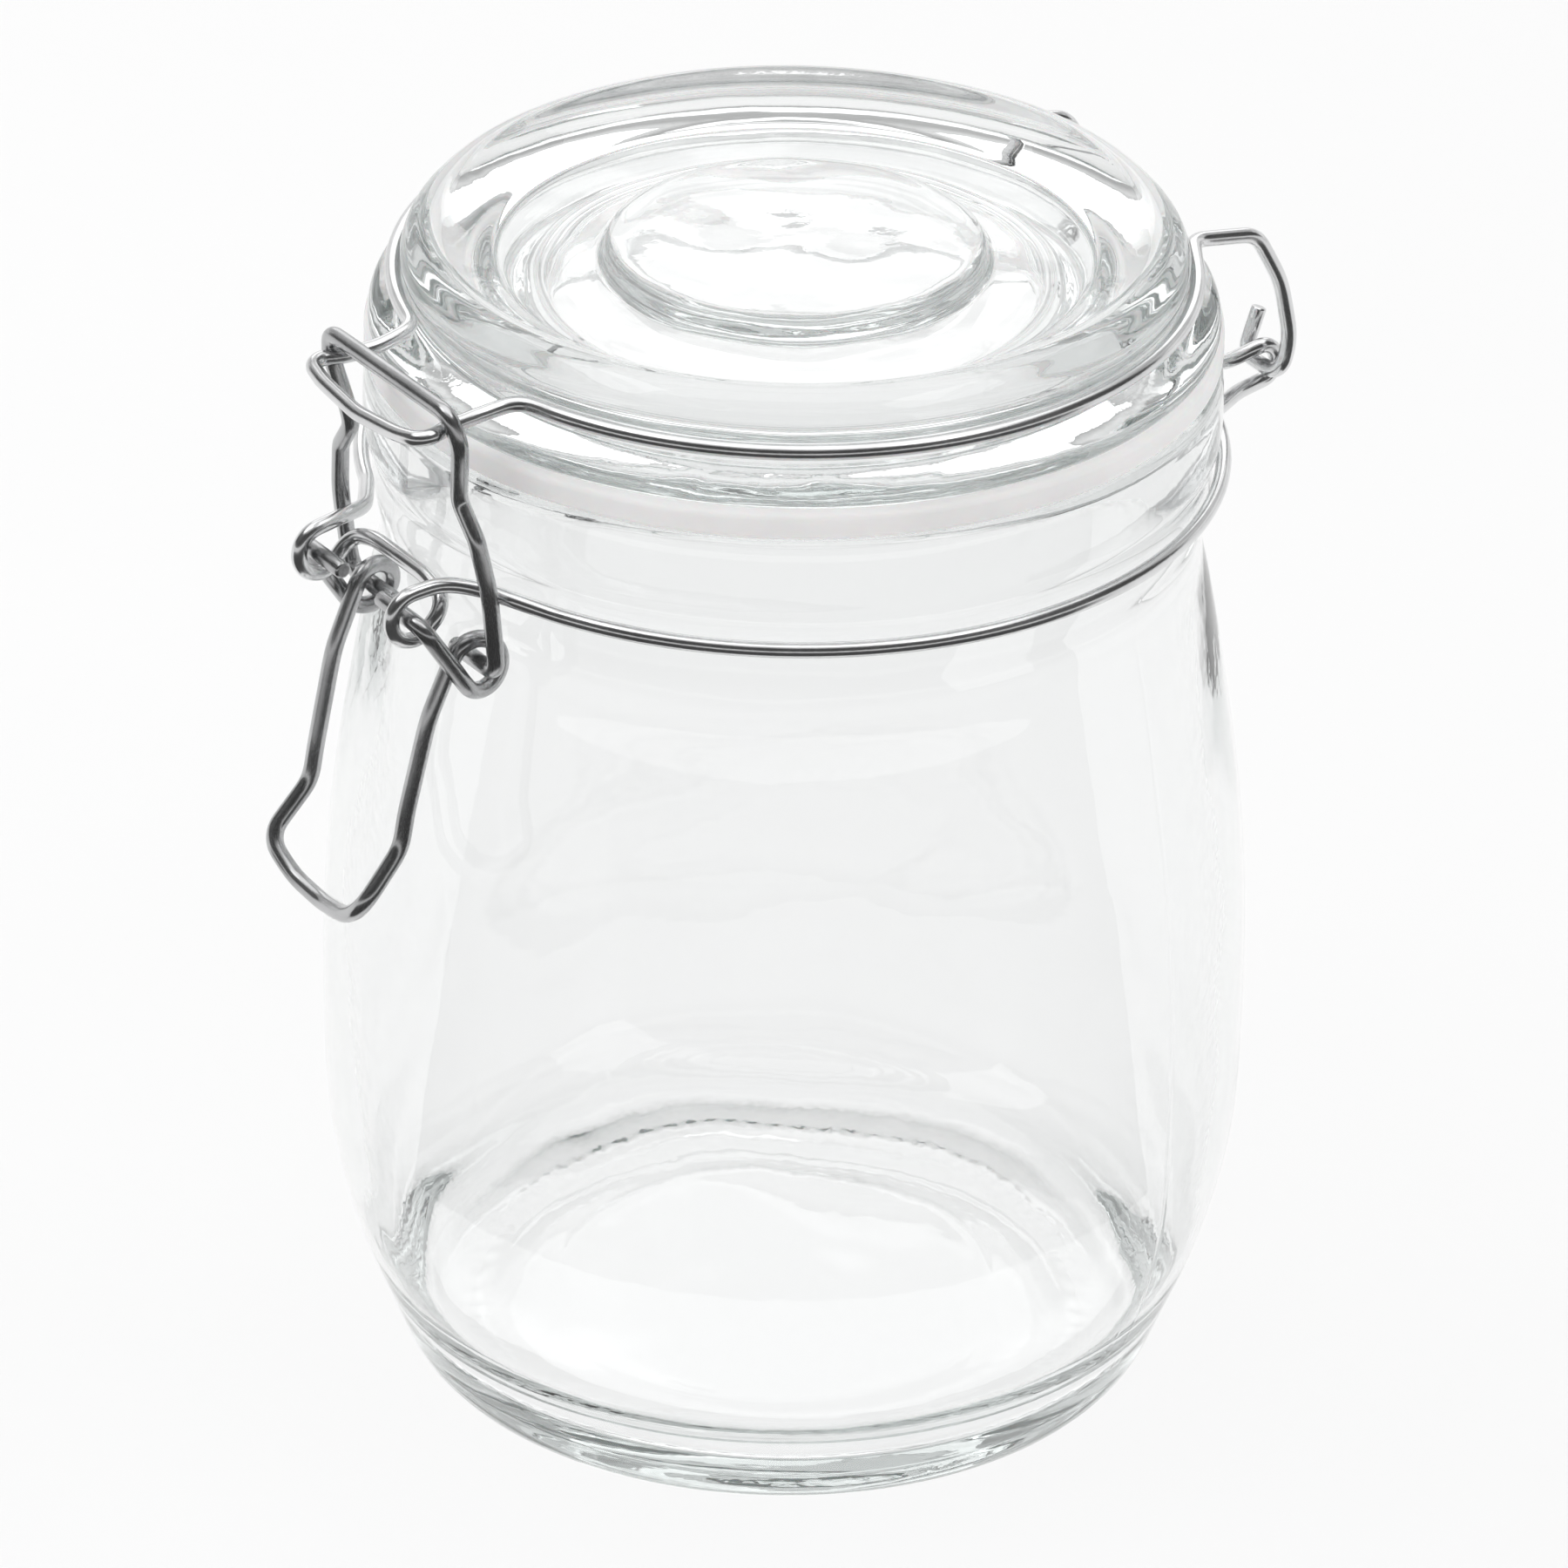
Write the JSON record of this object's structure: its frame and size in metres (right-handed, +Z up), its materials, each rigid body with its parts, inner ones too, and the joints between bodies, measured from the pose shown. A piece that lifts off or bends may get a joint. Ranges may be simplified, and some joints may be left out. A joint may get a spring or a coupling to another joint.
{
  "type": "clip-top glass jar",
  "caption": "Round glass storage jar with a hinged glass lid, a flat sealing ring and a bent-wire over-centre clip.",
  "frame": {"origin": "centre of the jar's base, on the surface it stands on", "axes": "+Z up along the jar's axis, -Y towards the latch, +Y towards the hinge, +X to the right seen from the latch"},
  "size_m": [0.1128, 0.1296, 0.1496],
  "materials": {
    "jar_glass": "clear pressed glass, gloss",
    "lid_glass": "clear pressed glass, gloss, faintly wavy",
    "gasket": "translucent white silicone, satin",
    "neck_wire": "bright drawn steel wire",
    "lid_wire": "bright drawn steel wire",
    "bail": "bright drawn spring wire",
    "lever": "bright drawn spring wire"
  },
  "bodies": {
    "jar": {"jar_glass": "jar_glass", "neck_wire": "neck_wire"},
    "lid": {"lid_glass": "lid_glass", "gasket": "gasket", "lid_wire": "lid_wire"},
    "lever": {"lever": "lever"},
    "bail": {"bail": "bail"}
  },
  "joints": [
    {"name": "lid_hinge", "type": "hinge", "parent": "jar", "child": "lid", "pos_m": [0, 0.058, 0.1215], "axis": [-1, 0, 0], "range_deg": [0, 110], "deforming": ["bail"]},
    {"name": "lever_hinge", "type": "hinge", "parent": "jar", "child": "lever", "pos_m": [0, -0.0608, 0.1186], "axis": [-1, 0, 0], "range_deg": [0, 140], "deforming": ["bail"]},
    {"name": "bail_hinge", "type": "hinge", "parent": "lever", "child": "bail", "pos_m": [0, -0.0522, 0.1112], "axis": [-1, 0, 0], "range_deg": [-165, 0]}
  ],
  "couplings": [
    {"joint": "bail_hinge", "follows": "lever_hinge", "ratio": -1.15}
  ]
}
